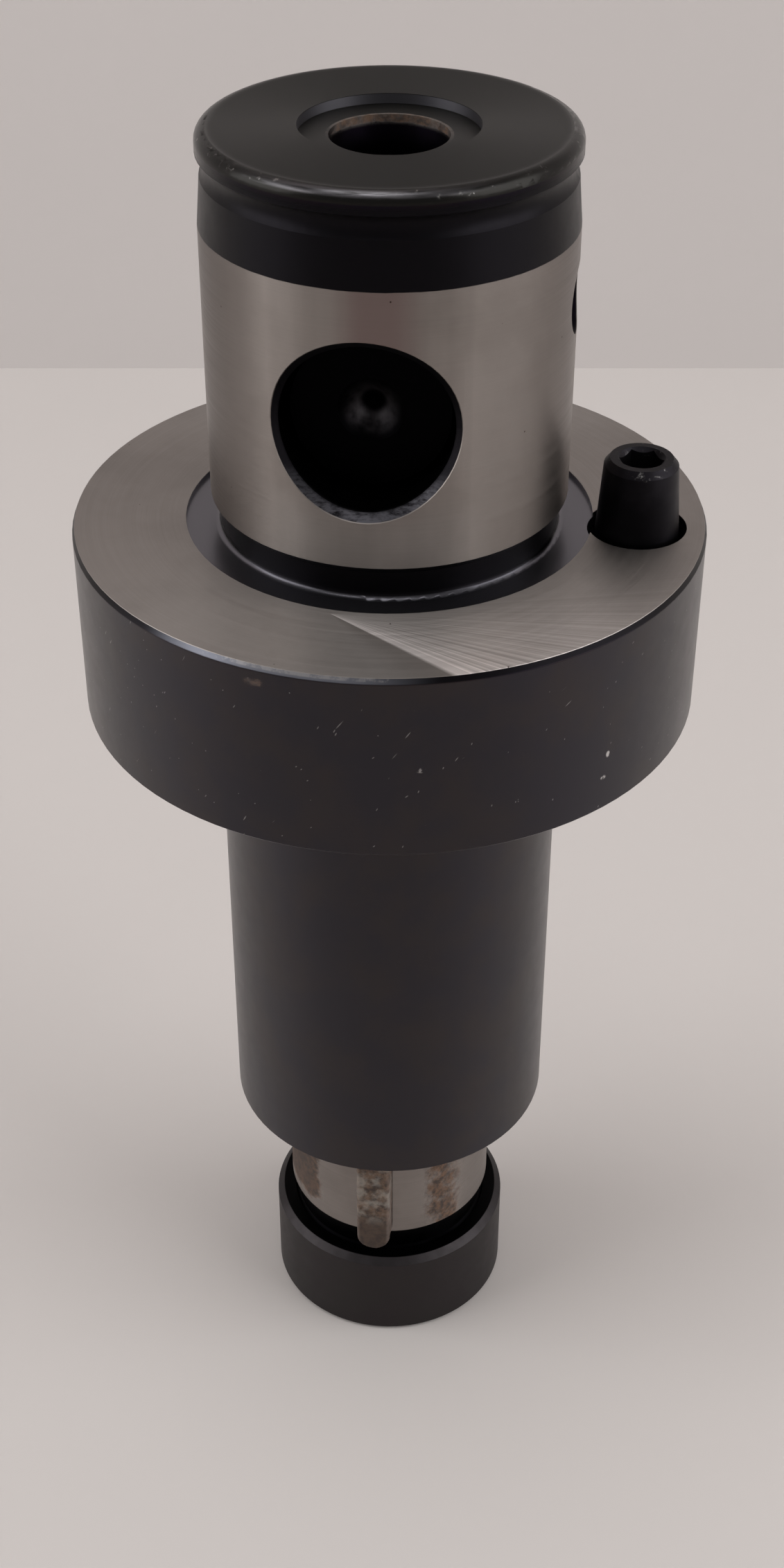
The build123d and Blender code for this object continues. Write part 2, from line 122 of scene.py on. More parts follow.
# Fineness of machining lines, by axis: high across the lines and low along them
PILOT_LINES = (0.03, 0.03, 7.0)
TURNED_LINES = (0.03, 0.03, 6.0)
FACE_LINES = (5.5, 1.1, 1.1)

# Depth of each finish's relief, in millimetres
BODY_RELIEF = 0.0012
OXIDE_RELIEF = 0.0015
TURNED_RELIEF = 0.0015
THRUST_RELIEF = 0.003
SPINDLE_RELIEF = 0.004
KEY_RELIEF = 0.03

# Spread of highlights across machining lines, the body's film of oil, and dull rust
BODY_SHEEN = 0.6
TURNED_SHEEN = 0.5
OIL_AMOUNT = 0.56
OIL_ROUGHNESS = 0.35
RUST_ROUGHNESS = 0.75

# The feather key's bevel, its mesh and its pits, in metres
KEY_BEVEL = 0.35 * MM
KEY_VOXEL = 0.13 * MM
PIT_SPACING = 0.55 * MM
PIT_DEPTH = 0.10 * MM

# The springs' wire, mesh steps in one turn, and how exact the cut at their ends is; then each
# one's turns, and whether its low end is fixed
SPRING_WIRE = 1.3 * MM
SPRING_STEPS = 40
CUT_REACH = 0.0001 * MM
SPRINGS = (("lower_spring", 3.4, False), ("upper_spring", 3.0, True))

# The photograph's camera, and the stage, in metres
CAMERA_PLACE = (0.02084, -0.15115, 0.16625)
CAMERA_TILT = radians(54.517)
CAMERA_TURN = radians(7.85)
CAMERA_SHIFT = 0.0016
FLOOR_SIZE = 4.0
WALL_HEIGHT = 1.5
LAMP_TARGET = (0, 0, 0.05)
LAMPS = (
    ("overhead_softbox", (-0.06, -0.08, 0.75), 0.30, "lamp_power"),
    ("left_softbox", (-1.04, -0.24, 0.55), 1.1, "side_power"),
    ("right_softbox", (1.08, -0.20, 0.59), 1.1, "side_power"),
)
SKY_COLOUR = (1.0, 0.985, 0.97, 1.0)


def tone(red, green, blue):
    """A colour read off a screen, 0 to 255, as Blender's linear colour."""
    parts = [part / 255 for part in (red, green, blue)]
    return tuple(p / 12.92 if p <= 0.04045 else ((p + 0.055) / 1.055) ** 2.4 for p in parts)


def colour_property(name, description, default):
    return FloatVectorProperty(
        name=name, description=description, default=default, subtype="COLOR", size=3, min=0, max=1
    )


def roughness_property(name, description, default):
    return FloatProperty(name=name, description=description, default=default, min=0, max=1)


class HolderFinish(PropertyGroup):
    """Colours and finishes of the holder's metal."""

    oxide: colour_property("Black oxide", "Blackened steel", (0.0105, 0.0078, 0.0135))
    oxide_brown: colour_property("Brown oxide", "Brown cast in the black", (0.0165, 0.011, 0.0125))
    ring: colour_property("Ring black", "Satin black of the nose ring", (0.040, 0.036, 0.036))
    ring_brown: colour_property("Ring brown", "Brown cast of the ring", (0.0395, 0.034, 0.0355))
    bevel_black: colour_property("Bevel black", "Bevel of the nose ring", (0.029, 0.026, 0.027))
    top_black: colour_property("Top black", "Matte black of the top face", (0.0180, 0.0172, 0.0162))
    # Painted light and reflection, far paler than the oxide: round the pilot's foot, in the top's
    # recess and on the cross bore's lower bevel
    lit_black: colour_property("Recess black", "Round the pilot's foot", (0.140, 0.136, 0.154))
    # Painted highlight along the top's lip
    painted_lip_highlight: colour_property("Bead", "Rubbed line on the top's lip", (0.125, 0.120, 0.128))
    # Painted shade: a darker black in the band, undercut, cross bore bevel and flange rim; also the
    # drive pin's darker cast
    deep_black: colour_property("Deep black", "Band and undercut", (0.0085, 0.0078, 0.0092))
    # Near-black painted shade: inside the bores, in the nose ring's mouth, on the spindle's neck
    # and on the thrust pin
    shadow_black: colour_property("Hidden black", "Inside the bores", (0.0015, 0.0014, 0.0017))
    pin_black: colour_property("Pin black", "Black of the drive pin", (0.018, 0.0165, 0.0195))
    ground: colour_property("Ground steel", "Clean ground pilot and flange", (0.265, 0.237, 0.220))
    # Stains on ground steel; also laid as painted shade on the flange face beside the painted
    # highlight
    stain_and_shade: colour_property("Stained steel", "Stains on ground steel", (0.190, 0.167, 0.153))
    # Painted dark reflection down the pilot's front
    dark_front_reflection: colour_property("Warm steel", "Down the pilot's front", (0.185, 0.142, 0.134))
    # Painted shade laid down the pilot's sides
    ground_shade: colour_property("Shaded steel", "Down the pilot's sides", (0.130, 0.113, 0.104))
    # Bare steel where wear shows the metal; also laid as a painted highlight low on the pilot's
    # front
    bare_and_highlight: colour_property("Bare steel", "Where wear shows the metal", (0.48, 0.46, 0.45))
    rim: colour_property("Rim", "Worn line round the flange's edge", (0.190, 0.196, 0.230))
    # Painted highlight fanning across the flange face
    fan_highlight: colour_property("Fan", "Brightest streaks of the flange face", (0.94, 0.87, 0.85))
    # Rubbed wear on the nose ring's bevel; also a painted glow in the thrust pin's cone recess
    wear_and_glow: colour_property("Rubbed steel", "Metal in the clamping seat", (0.088, 0.080, 0.086))
    key_rust: colour_property("Key rust", "Brown of the rusty key", (0.110, 0.067, 0.043))
    key_pale: colour_property("Key pale", "Pale worn patches on the key", (0.290, 0.265, 0.235))
    key_edge: colour_property("Key edge", "Worn edges of the rusty key", (0.20, 0.155, 0.135))
    rust: colour_property("Rust", "Brown rust", (0.118, 0.062, 0.034))
    rust_dark: colour_property("Dark rust", "Oldest rust, in the pits", (0.030, 0.018, 0.013))
    oxide_roughness: roughness_property("Oxide roughness", "Roughness of blackened steel", 0.42)
    lip_roughness: roughness_property("Lip roughness", "Roughness of the top's rounded lip", 0.27)
    top_roughness: roughness_property("Top roughness", "Roughness of the matte top face", 0.50)
    ground_roughness: roughness_property("Ground roughness", "Roughness of ground steel", 0.40)


class HolderStage(PropertyGroup):
    """The floor, backdrop, lights and camera."""

    floor: colour_property("Floor", "Colour of the floor", tone(198, 192, 189))
    backdrop: colour_property("Backdrop", "Colour of the backdrop", tone(198, 192, 190))
    backdrop_distance: FloatProperty(
        name="Backdrop distance", description="From the holder's axis", default=0.21,
        unit="LENGTH",
    )
    lamp_power: FloatProperty(
        name="Lamp power", description="Overhead softbox", default=0.85, unit="POWER"
    )
    side_power: FloatProperty(
        name="Side lamp power", description="Each of the two side softboxes", default=11.2,
        unit="POWER",
    )
    sky: FloatProperty(
        name="Surrounding light", description="World strength", default=0.385, min=0
    )
    lens: FloatProperty(
        name="Lens", description="Focal length on a 36 mm high frame", default=49.8,
        unit="CAMERA",
    )


def fill_inputs(tree, node, inputs):
    """Give a node's inputs their values, or links where a value is a socket."""
    for name, value in (inputs or {}).items():
        if isinstance(value, bpy.types.NodeSocket):
            tree.links.new(value, node.inputs[name])
        else:
            node.inputs[name].default_value = value


def connect(tree, node, **sockets):
    """Link sockets to a node's inputs, each named with _ for a space."""
    for name, socket in sockets.items():
        tree.links.new(socket, node.inputs[name.replace("_", " ")])


def add_node(tree, kind, inputs=None, **options):
    """Add a shader node, set its options and fill its inputs."""
    made = tree.nodes.new("ShaderNode" + kind)
    for name, value in options.items():
        setattr(made, name, value)
    fill_inputs(tree, made, inputs)
    return made


def calc(tree, operation, *values):
    return add_node(tree, "Math", dict(enumerate(values)), operation=operation).outputs[0]


def weaker(tree, mask, share):
    """A mask at a share of its strength."""
    return calc(tree, "MULTIPLY", mask, share)


def inverse(tree, mask):
    return calc(tree, "SUBTRACT", 1.0, mask)


def stretch(tree, vector, factors):
    """Multiply a vector, part by part."""
    return add_node(tree, "VectorMath", {0: vector, 1: factors}, operation="MULTIPLY").outputs[0]


def vector_from(tree, position, centre):
    inputs = {0: position, 1: centre}
    return add_node(tree, "VectorMath", inputs, operation="SUBTRACT").outputs[0]


def length(tree, vector):
    return add_node(tree, "VectorMath", {0: vector}, operation="LENGTH").outputs["Value"]


def split(tree, vector):
    return add_node(tree, "SeparateXYZ", {0: vector}).outputs


def rise(tree, value, edge, soft):
    """A mask that goes from 0 to 1 as the value passes an edge."""
    inputs = {0: value, 1: edge - soft, 2: edge + soft}
    return add_node(tree, "MapRange", inputs, interpolation_type="SMOOTHSTEP").outputs[0]


def fall(tree, value, edge, soft):
    return inverse(tree, rise(tree, value, edge, soft))


def between(tree, value, low, high, soft):
    return both(tree, rise(tree, value, low, soft), fall(tree, value, high, soft))


def both(tree, *masks):
    result = masks[0]
    for mask in masks[1:]:
        result = calc(tree, "MULTIPLY", result, mask)
    return result


def either(tree, *masks):
    result = masks[0]
    for mask in masks[1:]:
        result = calc(tree, "MAXIMUM", result, mask)
    return result


def sector(tree, turn, angles):
    """A mask for one stretch of the holder's round, given in degrees."""
    return between(tree, turn, *(radians(angle) for angle in angles))


def noise(tree, vector, scale, detail=3.0, roughness=0.5):
    inputs = {"Vector": vector, "Scale": scale, "Detail": detail, "Roughness": roughness}
    return add_node(tree, "TexNoise", inputs).outputs[0]


def mix_colour(tree, factor, first, second):
    inputs = {0: factor, 6: first, 7: second}
    return add_node(tree, "Mix", inputs, data_type="RGBA").outputs[2]


def mix_value(tree, factor, first, second):
    return add_node(tree, "Mix", {0: factor, 2: first, 3: second}).outputs[0]


def opaque(colour):
    return (*colour, 1.0)


def lay(tree, base, mask, colour, share=1.0):
    """Lay a plain colour over a base by a mask, at a share of full strength."""
    if share < 1.0:
        mask = weaker(tree, mask, share)
    return mix_colour(tree, mask, base, opaque(colour))


def shared_group(name, inputs, outputs):
    """Start a node group with named sockets, each given as a name and a socket kind."""
    group = bpy.data.node_groups.new(name, "ShaderNodeTree")
    for in_out, sockets in (("INPUT", inputs), ("OUTPUT", outputs)):
        for label, kind in sockets:
            group.interface.new_socket(name=label, in_out=in_out, socket_type="NodeSocket" + kind)
    source = group.nodes.new("NodeGroupInput")
    target = group.nodes.new("NodeGroupOutput")
    return group, source.outputs, target


def use_group(tree, name, inputs=None):
    """Add a shared group, fill its inputs and give its outputs."""
    made = tree.nodes.new("ShaderNodeGroup")
    made.node_tree = bpy.data.node_groups[name]
    fill_inputs(tree, made, inputs)
    return made.outputs


def make_place_group():
    """Where a point lies: in millimetres, and as radius, height and turn from the front."""
    outputs = [("Position", "Vector"), ("Radius", "Float"), ("Height", "Float"),
               ("Turn", "Float"), ("Polar", "Vector")]
    group, _, target = shared_group("Place", [], outputs)
    coordinates = group.nodes.new("ShaderNodeTexCoord")
    position = stretch(group, coordinates.outputs["Object"], (PER_MM, PER_MM, PER_MM))
    x, y, height = split(group, position)
    flat = add_node(group, "CombineXYZ", {0: x, 1: y}).outputs[0]
    radius = length(group, flat)
    direction = add_node(group, "VectorMath", {0: flat}, operation="NORMALIZE").outputs[0]
    x_share, y_share, _ = split(group, direction)
    turn = calc(group, "ARCTAN2", x, calc(group, "MULTIPLY", y, -1.0))
    polar = add_node(group, "CombineXYZ", {0: radius, 1: x_share, 2: y_share}).outputs[0]
    connect(group, target, Position=position, Radius=radius, Height=height, Turn=turn, Polar=polar)


def make_lines_group():
    """Fine machining lines: the vector is long across the lines and short along them."""
    group, source, target = shared_group(
        "Machining Lines", [("Vector", "Vector")], [("Lines", "Float")]
    )
    fine = noise(group, source["Vector"], 1.0, detail=2.0, roughness=0.65)
    broad = noise(group, source["Vector"], 0.23, detail=1.0)
    lines = calc(group, "ADD", weaker(group, fine, 0.65), weaker(group, broad, 0.35))
    connect(group, target, Lines=lines)


def make_specks_group():
    """Small scattered spots: how many there are goes by Amount, from 0 to 1."""
    inputs = [("Vector", "Vector"), ("Scale", "Float"), ("Size", "Float"), ("Amount", "Float")]
    group, source, target = shared_group("Specks", inputs, [("Mask", "Float")])
    cells = add_node(
        group, "TexVoronoi", {"Vector": source["Vector"], "Scale": source["Scale"]}
    ).outputs
    chance = add_node(group, "SeparateColor", {0: cells["Color"]}).outputs[0]
    chosen = calc(group, "LESS_THAN", chance, source["Amount"])
    reach = calc(group, "DIVIDE", cells["Distance"], source["Size"])
    spot = fall(group, reach, 0.7, 0.3)
    connect(group, target, Mask=both(group, chosen, spot))


def make_scratches_group():
    """Short thin scratches in three directions."""
    inputs = [("Vector", "Vector"), ("Amount", "Float")]
    group, source, target = shared_group("Scratches", inputs, [("Mask", "Float")])
    found = []
    for turn in ((0.4, 0.9, 0.3), (1.5, -0.5, 1.1), (-0.7, 0.2, -0.8)):
        turned = add_node(
            group, "Mapping", {"Vector": source["Vector"], "Rotation": turn, "Location": turn}
        ).outputs[0]
        thin = stretch(group, turned, (0.45, 5.0, 5.0))
        found.append(specks(group, thin, 1.0, 0.28, source["Amount"]))
    connect(group, target, Mask=either(group, *found))


def make_oxide_group():
    """Black oxide: a faint brown cast, small cloudy changes of gloss and a very fine grain."""
    inputs = [("Vector", "Vector"), ("Black", "Color"), ("Brown", "Color"),
              ("Roughness", "Float")]
    outputs = [("Color", "Color"), ("Roughness", "Float"), ("Height", "Float")]
    group, source, target = shared_group("Black Oxide", inputs, outputs)
    vector = source["Vector"]
    cloud = rise(group, noise(group, vector, 0.16, detail=4.0, roughness=0.55), 0.52, 0.14)
    colour = mix_colour(group, cloud, source["Black"], source["Brown"])
    patch = calc(group, "SUBTRACT", noise(group, vector, 0.6, detail=5.0, roughness=0.6), 0.5)
    rough = calc(group, "ADD", source["Roughness"], weaker(group, patch, 0.16))
    grain = noise(group, vector, 9.0, detail=2.0)
    connect(group, target, Color=colour, Roughness=rough, Height=grain)


def make_ground_group():
    """Ground steel: soft stains and lines that change both its colour and its gloss."""
    inputs = [("Vector", "Vector"), ("Lines", "Float"), ("Clean", "Color"),
              ("Stained", "Color"), ("Roughness", "Float")]
    outputs = [("Color", "Color"), ("Roughness", "Float")]
    group, source, target = shared_group("Ground Steel", inputs, outputs)
    lines = source["Lines"]
    stain = noise(group, source["Vector"], 0.11, detail=4.0, roughness=0.6)
    stain = rise(group, stain, 0.55, 0.16)
    share = calc(group, "ADD", weaker(group, stain, 0.6), weaker(group, lines, 0.4))
    colour = mix_colour(group, share, source["Clean"], source["Stained"])
    change = calc(group, "SUBTRACT", lines, 0.5)
    rough = calc(group, "ADD", source["Roughness"], weaker(group, change, 0.24))
    connect(group, target, Color=colour, Roughness=rough)


def make_rust_group():
    """Rust that breaks up at its border: Spread says where it may lie."""
    inputs = [("Vector", "Vector"), ("Spread", "Float"), ("Brown", "Color"), ("Dark", "Color")]
    outputs = [("Mask", "Float"), ("Color", "Color"), ("Height", "Float")]
    group, source, target = shared_group("Rust", inputs, outputs)
    broken = noise(group, source["Vector"], 0.7, detail=7.0, roughness=0.72)
    mask = rise(group, calc(group, "ADD", broken, source["Spread"]), 1.04, 0.20)
    crust = noise(group, source["Vector"], 1.7, detail=5.0, roughness=0.7)
    colour = mix_colour(group, rise(group, crust, 0.5, 0.14), source["Dark"], source["Brown"])
    connect(group, target, Mask=mask, Color=colour, Height=crust)


def make_wear_group():
    """Bare metal along an edge: Edge marks the edge, and Amount says how far it is worn."""
    inputs = [("Vector", "Vector"), ("Edge", "Float"), ("Amount", "Float")]
    group, source, target = shared_group("Edge Wear", inputs, [("Mask", "Float")])
    broken = noise(group, source["Vector"], 1.3, detail=5.0, roughness=0.7)
    reach = calc(group, "ADD", broken, source["Amount"])
    mask = both(group, source["Edge"], rise(group, reach, 1.0, 0.12))
    connect(group, target, Mask=mask)


GROUPS = (
    make_place_group, make_lines_group, make_specks_group, make_scratches_group,
    make_oxide_group, make_ground_group, make_rust_group, make_wear_group,
)


def machining_lines(tree, vector, spacing):
    return use_group(tree, "Machining Lines", {"Vector": stretch(tree, vector, spacing)})[0]


def specks(tree, vector, scale, size, amount):
    inputs = {"Vector": vector, "Scale": scale, "Size": size, "Amount": amount}
    return use_group(tree, "Specks", inputs)[0]


def edge_wear(tree, position, edge, amount):
    inputs = {"Vector": position, "Edge": edge, "Amount": amount}
    return use_group(tree, "Edge Wear", inputs)[0]


def black_oxide(tree, position, black, brown, roughness):
    return use_group(tree, "Black Oxide", {
        "Vector": position, "Black": opaque(black), "Brown": opaque(brown),
        "Roughness": roughness,
    })


def ground_steel(tree, position, lines, finish, roughness):
    return use_group(tree, "Ground Steel", {
        "Vector": position, "Lines": lines, "Clean": opaque(finish.ground),
        "Stained": opaque(finish.stain_and_shade), "Roughness": roughness,
    })


def rusted(tree, position, spread, brown, dark):
    return use_group(tree, "Rust", {
        "Vector": position, "Spread": spread, "Brown": opaque(brown), "Dark": opaque(dark),
    })


def start_material(name):
    """A material with its tree, its shader and the sockets that say where a point lies."""
    material = bpy.data.materials.new(name)
    material.use_nodes = True
    tree = material.node_tree
    tree.nodes.clear()
    shader = tree.nodes.new("ShaderNodeBsdfPrincipled")
    output = tree.nodes.new("ShaderNodeOutputMaterial")
    tree.links.new(shader.outputs[0], output.inputs[0])
    return material, tree, shader, use_group(tree, "Place")


def add_bump(tree, shader, height, relief):
    """Relief of a given depth, in millimetres, from a height that goes from 0 to 1."""
    bump = add_node(tree, "Bump", {"Height": height, "Distance": relief * MM, "Strength": 1.0})
    tree.links.new(bump.outputs[0], shader.inputs["Normal"])


def connect_metal(tree, shader, colour, roughness, height, relief):
    """Connect a finish that is metal all over."""
    connect(tree, shader, Base_Color=colour, Roughness=roughness)
    shader.inputs["Metallic"].default_value = 1.0
    add_bump(tree, shader, height, relief)


def turned_sheen(tree, shader, amount):
    """Spread highlights across the machining lines, which run round the axis."""
    tangent = add_node(tree, "Tangent", direction_type="RADIAL", axis="Z")
    tree.links.new(tangent.outputs[0], shader.inputs["Tangent"])
    shader.inputs["Anisotropic"].default_value = amount
    shader.inputs["Anisotropic Rotation"].default_value = 0.25


def distance_from(tree, position, centre, factors):
    """How far a point is from a centre, with a factor for each axis."""
    return length(tree, stretch(tree, vector_from(tree, position, centre), factors))


def distance_from_cross_bore(tree, position):
    """How far a point is from the axis of the cross bore, which lies along Y."""
    return distance_from(tree, position, CROSS_BORE, (1.0, 0.0, 1.0))


def make_fan_highlight(tree, position):
    """A painted highlight fanning across the flange face, sharp on its left side, and painted shade
    on the face before it.
    """
    x, y, _ = split(tree, vector_from(tree, position, FAN_CORNER))
    angle = calc(tree, "ARCTAN2", y, x)
    sharp_side = rise(tree, angle, FAN_EDGE, FAN_SHARPNESS)
    spread = fall(tree, angle, FAN_EDGE + radians(30), radians(34))
    core = fall(tree, angle, FAN_EDGE + radians(12), radians(9))
    streaks = add_node(tree, "CombineXYZ", {0: angle}).outputs[0]
    streaks = rise(tree, noise(tree, streaks, 42.0, detail=4.0, roughness=0.75), 0.5, 0.13)
    bright = both(tree, sharp_side, spread, mix_value(tree, core, 0.6, 1.0),
                  mix_value(tree, streaks, 0.2, 1.0))
    ridge = both(tree, sharp_side, fall(tree, angle, FAN_EDGE + radians(7), radians(6)))
    bright = either(tree, bright, weaker(tree, ridge, 0.7))
    before = both(tree, between(tree, angle, FAN_EDGE - radians(20), FAN_EDGE, FAN_SHARPNESS),
                  rise(tree, angle, FAN_EDGE - radians(11), radians(10)))
    return bright, before


def mark_ground(tree, place):
    """Masks of the ground pilot, whose border wanders a little, and the ground flange face."""
    position, radius, height = place["Position"], place["Radius"], place["Height"]
    wander = weaker(tree, calc(tree, "SUBTRACT", noise(tree, position, 0.35), 0.5), 0.12)
    level = calc(tree, "ADD", height, wander)
    wall = both(tree, rise(tree, radius, pilot_radius - 0.06, 0.02),
                between(tree, level, pilot_low - 0.25, pilot_high, 0.03))
    face = both(tree, between(tree, height, face_height - 0.05, face_height + 0.05, 0.01),
                rise(tree, radius, pilot_radius + 2.0, 0.02))
    return wall, face


def colour_ground(tree, place, finish, wall, face):
    """Ground steel with painted shade and reflection bands down the pilot, a painted highlight at
    its foot, a painted dark reflection down its front, and a painted highlight fanning across the
    flange face.
    """
    position, height, turn = place["Position"], place["Height"], place["Turn"]
    lines = mix_value(tree, face, machining_lines(tree, position, PILOT_LINES),
                      machining_lines(tree, place["Polar"], FACE_LINES))
    steel = ground_steel(tree, position, lines, finish, finish.ground_roughness)
    # Painted shade streaks down the pilot's sides, and painted reflection bands round it
    bands = stretch(tree, place["Polar"], (0.0, 5.0, 5.0))
    bands = rise(tree, noise(tree, bands, 1.0, detail=2.0, roughness=0.6), 0.5, 0.2)
    shade = either(tree, weaker(tree, sector(tree, turn, LEFT_SHADE), 0.75),
                   weaker(tree, sector(tree, turn, RIGHT_SHADE), 0.5),
                   weaker(tree, bands, 0.3))
    # Painted highlight low on the pilot's front, laid in bare steel
    foot = both(tree, fall(tree, height, pilot_low + 4.0, 3.0), sector(tree, turn, FOOT_HIGHLIGHT))
    # Painted dark reflection down the pilot's front
    front = both(tree, sector(tree, turn, FRONT_REFLECTION), rise(tree, height, pilot_low + 7.0, 5.0))
    bright, before = make_fan_highlight(tree, position)

    colour = lay(tree, steel["Color"], both(tree, shade, wall), finish.ground_shade)
    colour = lay(tree, colour, both(tree, foot, wall), finish.bare_and_highlight, share=0.25)
    colour = lay(tree, colour, face, finish.bare_and_highlight, share=0.23)
    colour = lay(tree, colour, both(tree, front, wall), finish.dark_front_reflection)
    # Painted highlight fanning across the flange face, then painted shade on the face before it
    colour = lay(tree, colour, both(tree, bright, face), finish.fan_highlight)
    colour = lay(tree, colour, both(tree, before, face), finish.stain_and_shade, share=0.45)
    rough = calc(tree, "ADD", steel["Roughness"], weaker(tree, face, 0.09))
    return colour, rough, lines


def mark_rim(tree, place):
    """The bevel round the flange's top edge."""
    return both(tree, rise(tree, place["Radius"], flange_radius - 0.24, 0.03),
                between(tree, place["Height"], face_height - 0.44, face_height - 0.02, 0.05))


def colour_black(tree, place, finish, rim):
    """Black oxide: painted shade deepens it in band, undercut, bores and rim, painted light pales
    it in the recesses, wear pales the rim, and a painted highlight runs along the lip.
    """
    position, radius, height = place["Position"], place["Radius"], place["Height"]
    turn = place["Turn"]
    oxide = black_oxide(tree, position, finish.oxide, finish.oxide_brown, finish.oxide_roughness)
    top = rise(tree, height, top_height - 0.9, 0.05)
    recess = both(tree, between(tree, height, face_height - 0.6, face_height - 0.01, 0.05),
                  fall(tree, radius, pilot_radius + 2.3, 0.1))
    sink = both(tree, between(tree, height, top_height - 0.75, top_height - 0.04, 0.03),
                fall(tree, radius, axial_radius * 2, 0.5))
    band = both(tree, rise(tree, height, pilot_high - 0.2, 0.1),
                rise(tree, radius, pilot_radius - 1.5, 0.2),
                fall(tree, height, top_height - 1.0, 0.3))
    undercut = both(tree, between(tree, height, face_height - 0.2, pilot_low, 0.1),
                    fall(tree, radius, pilot_radius + 0.2, 0.1))
    from_axis = distance_from_cross_bore(tree, position)
    bevel = both(tree, fall(tree, from_axis, cross_radius + 0.85, 0.04),
                 rise(tree, radius, pilot_radius - 2.0, 0.5))
    cut = noise(tree, stretch(tree, position, (1.2, 1.2, 4.0)), 1.0, roughness=0.7)
    lit_bevel = both(tree, bevel, fall(tree, height, pilot_middle - 4.6, 1.6),
                     rise(tree, cut, 0.45, 0.2))
    # Painted highlight along the front of the top's lip
    painted_lip_highlight = both(tree, between(tree, height, top_height - 0.4, top_height - 0.04, 0.1),
                rise(tree, radius, pilot_radius - 0.7, 0.1), sector(tree, turn, LIP_HIGHLIGHT),
                rise(tree, noise(tree, place["Polar"], 6.0), 0.4, 0.2))
    # Painted shade inside the cross bore and the axial bore
    cross_bore = both(tree, fall(tree, from_axis, cross_radius + 0.12, 0.06),
                      fall(tree, radius, pilot_radius - 0.6, 0.4))
    axial_bore = both(tree, fall(tree, radius, axial_radius + 0.1, 0.05),
                      fall(tree, height, top_height - 2.6, 0.8))

    # Painted shade in the band, the undercut, the cross bore's bevel and the rim
    deep = either(tree, band, undercut, bevel, rim)
    pale_rim = both(tree, rim, sector(tree, turn, PALE_RIM))
    colour = lay(tree, oxide["Color"], top, finish.top_black)
    # Painted light in the recess round the pilot's foot and in the top's recess
    colour = lay(tree, colour, recess, finish.lit_black)
    colour = lay(tree, colour, sink, finish.lit_black, share=0.55)
    colour = lay(tree, colour, deep, finish.deep_black)
    colour = lay(tree, colour, pale_rim, finish.rim, share=0.9)
    # Painted light on the lower, upward-facing part of the cross bore's bevel
    colour = lay(tree, colour, lit_bevel, finish.lit_black, share=0.6)
    colour = lay(tree, colour, painted_lip_highlight, finish.painted_lip_highlight)
    colour = lay(tree, colour, either(tree, cross_bore, axial_bore), finish.shadow_black)

    flat_top = both(tree, top, fall(tree, radius, pilot_radius - 1.2, 0.3))
    lip_side = both(tree, rise(tree, height, top_height - 1.5, 0.3),
                    rise(tree, radius, pilot_radius - 1.0, 0.2))
    rough = mix_value(tree, flat_top, oxide["Roughness"], finish.top_roughness)
    rough = mix_value(tree, either(tree, lip_side, recess), rough, finish.lip_roughness)
    return colour, rough, oxide["Height"]


def mark_bare(tree, place, rim):
    """Where metal shows through: worn rim and lip, and specks, scratches and knocks on the side."""
    position, radius, height = place["Position"], place["Radius"], place["Height"]
    rim_line = both(tree, rim, rise(tree, height, face_height - 0.27, 0.06))
    rim_amount = mix_value(tree, sector(tree, place["Turn"], WORN_RIM), 0.12, 0.60)
    worn_rim = edge_wear(tree, position, rim_line, rim_amount)
    lip = both(tree, rise(tree, height, top_height - 0.5, 0.12),
               rise(tree, radius, pilot_radius - 0.75, 0.15))
    worn_lip = edge_wear(tree, position, lip, 0.30)
    flange_side = both(tree, rise(tree, radius, flange_radius - 0.05, 0.01),
                       fall(tree, height, face_height - 0.5, 0.05))
    scratches = use_group(tree, "Scratches", {"Vector": position, "Amount": 0.012})[0]
    spots = specks(tree, position, scale=0.8, size=0.05, amount=0.16)
    scars = both(tree, flange_side, weaker(tree, either(tree, scratches, spots), 0.4))
    for centre, factors in KNOCKS:
        knock = fall(tree, distance_from(tree, position, centre, factors), 0.8, 0.3)
        broken = rise(tree, noise(tree, position, 2.2), 0.5, 0.1)
        scars = either(tree, scars, both(tree, knock, broken))
    return either(tree, weaker(tree, worn_rim, 0.45), worn_lip, scars)


